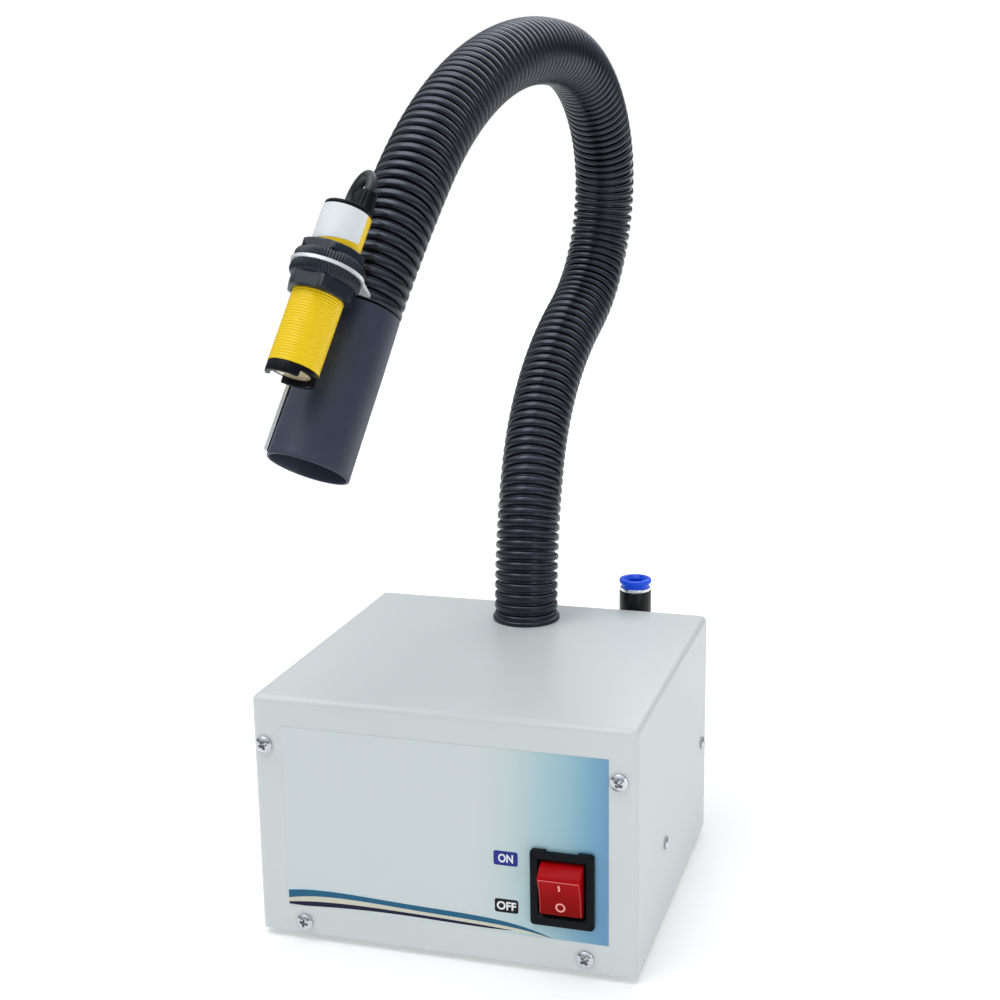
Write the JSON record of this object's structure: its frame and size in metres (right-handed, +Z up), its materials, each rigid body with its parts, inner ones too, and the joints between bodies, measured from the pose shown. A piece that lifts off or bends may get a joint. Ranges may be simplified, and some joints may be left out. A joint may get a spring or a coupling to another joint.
{
  "type": "ionising air snake",
  "caption": "Bench ioniser: painted steel case with rocker switch, corrugated gooseneck arm, air nozzle with emitter needle and a photoelectric sensor.",
  "frame": {"origin": "on the bench surface under the middle of the case, between the four feet", "axes": "+X to the right seen from the switch side, +Y to the back of the case, +Z up"},
  "size_m": [0.1576, 0.3111, 0.3599],
  "materials": {
    "case_paint": "fine satin powder coat",
    "zinc_sheet": "zinc-plated sheet",
    "label_film": "printed polyester film",
    "screw_steel": "bright nickel plate",
    "bright_steel": "bright stainless steel",
    "black_rubber": "matt rubber",
    "black_plastic": "moulded nylon",
    "fitting_black": "satin PBT",
    "contact_metal": "tinned brass",
    "rocker_red": "clear red polycarbonate",
    "brass": "turned brass",
    "collar_blue": "moulded acetal",
    "air_tube_blue": "polyurethane tube",
    "potting_black": "cast epoxy",
    "board_green": "solder mask",
    "wire_sheath": "PVC wire insulation",
    "cable_sheath": "black PVC sheath",
    "conduit_black": "satin corrugated nylon",
    "shrink_sleeve": "shrunk polyolefin",
    "holder_white": "machined PTFE",
    "sensor_yellow": "moulded ABS",
    "lens_amber": "smoky clear plastic",
    "nut_black": "moulded nylon"
  },
  "bodies": {
    "case": {"cover": "case_paint", "chassis": "case_paint", "front_label": "label_film", "front_screws": "screw_steel", "side_screws": "screw_steel", "rubber_feet": "black_rubber", "foot_screws": "screw_steel", "switch_housing": "black_plastic", "switch_terminals": "contact_metal", "mains_inlet": "black_plastic", "inlet_pins": "contact_metal", "inlet_screws": "screw_steel", "fitting_stem": "brass", "fitting_nut": "brass", "valve_body": "brass", "valve_coil": "black_plastic", "valve_spring": "bright_steel", "air_tubes": "air_tube_blue", "high_voltage_module": "potting_black", "control_board": "board_green", "board_standoffs": "brass", "wiring": "wire_sheath", "earth_stud": "brass", "arm_base_fitting": "black_plastic", "arm_lock_nut": "zinc_sheet", "conduit_0": "conduit_black", "gooseneck_0": "bright_steel"},
    "rocker": {"switch_rocker": "rocker_red"},
    "drawer": {"fuse_drawer": "black_plastic"},
    "elbow": {"fitting_elbow": "fitting_black", "fitting_ring": "bright_steel"},
    "collar": {"release_collar": "collar_blue"},
    "plunger": {"valve_plunger": "bright_steel"},
    "arm_1": {"conduit_1": "conduit_black", "gooseneck_1": "bright_steel"},
    "arm_2": {"conduit_2": "conduit_black", "gooseneck_2": "bright_steel"},
    "arm_3": {"conduit_3": "conduit_black", "gooseneck_3": "bright_steel"},
    "arm_4": {"conduit_4": "conduit_black", "gooseneck_4": "bright_steel"},
    "arm_5": {"conduit_5": "conduit_black", "gooseneck_5": "bright_steel"},
    "nozzle": {"conduit_6": "conduit_black", "gooseneck_6": "bright_steel", "nozzle_sleeve": "shrink_sleeve", "nozzle_tube": "black_plastic", "needle_holder": "holder_white", "emitter_needle": "bright_steel", "sensor_bracket": "bright_steel", "bracket_rivets": "bright_steel", "sensor_barrel": "sensor_yellow", "sensor_front_ring": "black_plastic", "sensor_lens": "lens_amber", "sensor_tail_cap": "black_plastic", "sensor_nuts": "nut_black", "sensor_cable_boot": "black_rubber", "sensor_cable": "cable_sheath"},
    "trimmer": {"sensor_trimmer": "brass"}
  },
  "joints": [
    {"name": "arm_pitch_0", "type": "hinge", "parent": "case", "child": "arm_1", "pos_m": [-0.00057, 0.05542, 0.13592], "axis": [-0.9945, -0.1045, 0], "range_deg": [-18, 18]},
    {"name": "arm_side_1", "type": "hinge", "parent": "arm_1", "child": "arm_2", "pos_m": [-0.00279, 0.10088, 0.19939], "axis": [0.4431, 0.5903, -0.6747], "range_deg": [-18, 18]},
    {"name": "arm_pitch_2", "type": "hinge", "parent": "arm_2", "child": "arm_3", "pos_m": [0.00688, 0.16329, 0.26285], "axis": [0.991, -0.1088, -0.0781], "range_deg": [-18, 18]},
    {"name": "arm_pitch_3", "type": "hinge", "parent": "arm_3", "child": "arm_4", "pos_m": [0.00828, 0.12779, 0.33378], "axis": [-0.9857, 0.1374, 0.0972], "range_deg": [-18, 18]},
    {"name": "arm_pitch_4", "type": "hinge", "parent": "arm_4", "child": "arm_5", "pos_m": [-0.00072, 0.05355, 0.34437], "axis": [0.9909, -0.1319, -0.0279], "range_deg": [-18, 18]},
    {"name": "arm_side_5", "type": "hinge", "parent": "arm_5", "child": "nozzle", "pos_m": [-0.01001, -0.0143, 0.32051], "axis": [0.1785, 0.4831, -0.8572], "range_deg": [-18, 18]},
    {"name": "switch_rock", "type": "hinge", "parent": "case", "child": "rocker", "pos_m": [0.0484, -0.0702, 0.0364], "axis": [-1, 0, 0], "range_deg": [0, 26]},
    {"name": "fuse_drawer_slide", "type": "slide", "parent": "case", "child": "drawer", "axis": [0, 1, 0], "range_m": [0, 0.018]},
    {"name": "elbow_swivel", "type": "hinge", "parent": "case", "child": "elbow", "pos_m": [0.042, 0.084, 0.085], "axis": [0, 1, 0], "continuous": true},
    {"name": "collar_press", "type": "slide", "parent": "elbow", "child": "collar", "axis": [0, 0, -1], "range_m": [0, 0.0015], "stiffness_N_per_m": 400, "springref_m": -0.003},
    {"name": "plunger_lift", "type": "slide", "parent": "case", "child": "plunger", "axis": [0, 0, 1], "range_m": [0, 0.0015], "stiffness_N_per_m": 300, "springref_m": -0.004, "deforming": ["valve_spring"]},
    {"name": "trimmer_turn", "type": "hinge", "parent": "nozzle", "child": "trimmer", "pos_m": [-0.02307, -0.09484, 0.29179], "axis": [-0.1735, -0.4903, -0.8541], "range_deg": [-135, 135]}
  ]
}
